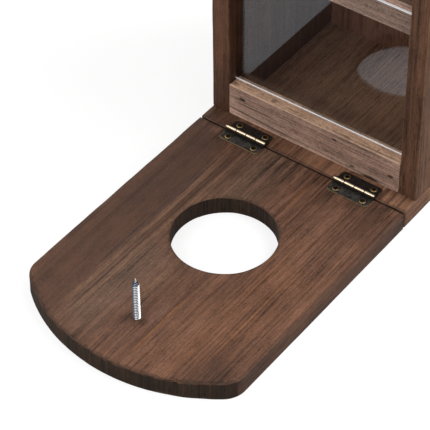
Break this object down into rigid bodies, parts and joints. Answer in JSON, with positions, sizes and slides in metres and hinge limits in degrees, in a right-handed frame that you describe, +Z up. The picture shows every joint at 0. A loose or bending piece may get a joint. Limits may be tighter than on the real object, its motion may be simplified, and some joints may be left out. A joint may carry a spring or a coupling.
{
  "type": "squirrel feeder box",
  "caption": "Wooden squirrel feeder box with a clear front pane, a sloping hinged lid and a folding landing platform with a round cup hole and a corn spike.",
  "frame": {"origin": "on the ground under the middle of the whole length, from the platform's tip to the back board, midway between the side walls", "axes": "+X to the right of the open front seen from the platform, +Y from the platform's tip to the back board, +Z up"},
  "size_m": [0.188, 0.3556, 0.2786],
  "materials": {
    "stained_wood": "dark reddish-brown stain, open grain, satin",
    "pale_wood": "pale brown weathered wood, open grain, matt",
    "clear_acrylic": "clear, polished faces",
    "aged_brass": "darkened brass, worn bright on rims and barrels",
    "bright_brass": "satin brass",
    "zinc_steel": "bright zinc plate"
  },
  "bodies": {
    "box": {"base_board": "stained_wood", "left_wall": "stained_wood", "right_wall": "stained_wood", "back_board": "stained_wood", "front_lip": "pale_wood", "upper_rail": "pale_wood", "rail_dowels": "pale_wood", "roof_rear_strip": "stained_wood", "base_screws": "zinc_steel", "back_screws": "zinc_steel", "roof_strip_screws": "zinc_steel", "hinge_screws_base": "aged_brass", "hinge_screws_strip": "aged_brass", "left_platform_hinge_base_leaf": "aged_brass", "left_platform_hinge_pin": "bright_brass", "left_lid_hinge_strip_leaf": "aged_brass", "left_lid_hinge_pin": "bright_brass", "right_platform_hinge_base_leaf": "aged_brass", "right_platform_hinge_pin": "bright_brass", "right_lid_hinge_strip_leaf": "aged_brass", "right_lid_hinge_pin": "bright_brass"},
    "pane": {"front_pane": "clear_acrylic"},
    "lid": {"roof_lid": "stained_wood", "hinge_screws_lid": "aged_brass", "left_lid_hinge_lid_leaf": "aged_brass", "right_lid_hinge_lid_leaf": "aged_brass"},
    "platform": {"platform_board": "stained_wood", "corn_screw": "zinc_steel", "hinge_screws_platform": "aged_brass", "left_platform_hinge_platform_leaf": "aged_brass", "right_platform_hinge_platform_leaf": "aged_brass"}
  },
  "joints": [
    {"name": "platform_fold", "type": "hinge", "parent": "box", "child": "platform", "pos_m": [0, 0.0302, 0.0154], "axis": [-1, 0, 0], "range_deg": [0, 90]},
    {"name": "lid_open", "type": "hinge", "parent": "box", "child": "lid", "pos_m": [0, 0.14067, 0.27334], "axis": [-1, 0, 0], "range_deg": [0, 115]},
    {"name": "pane_lift", "type": "slide", "parent": "box", "child": "pane", "axis": [0, 0, 1], "range_m": [0, 0.026]}
  ]
}
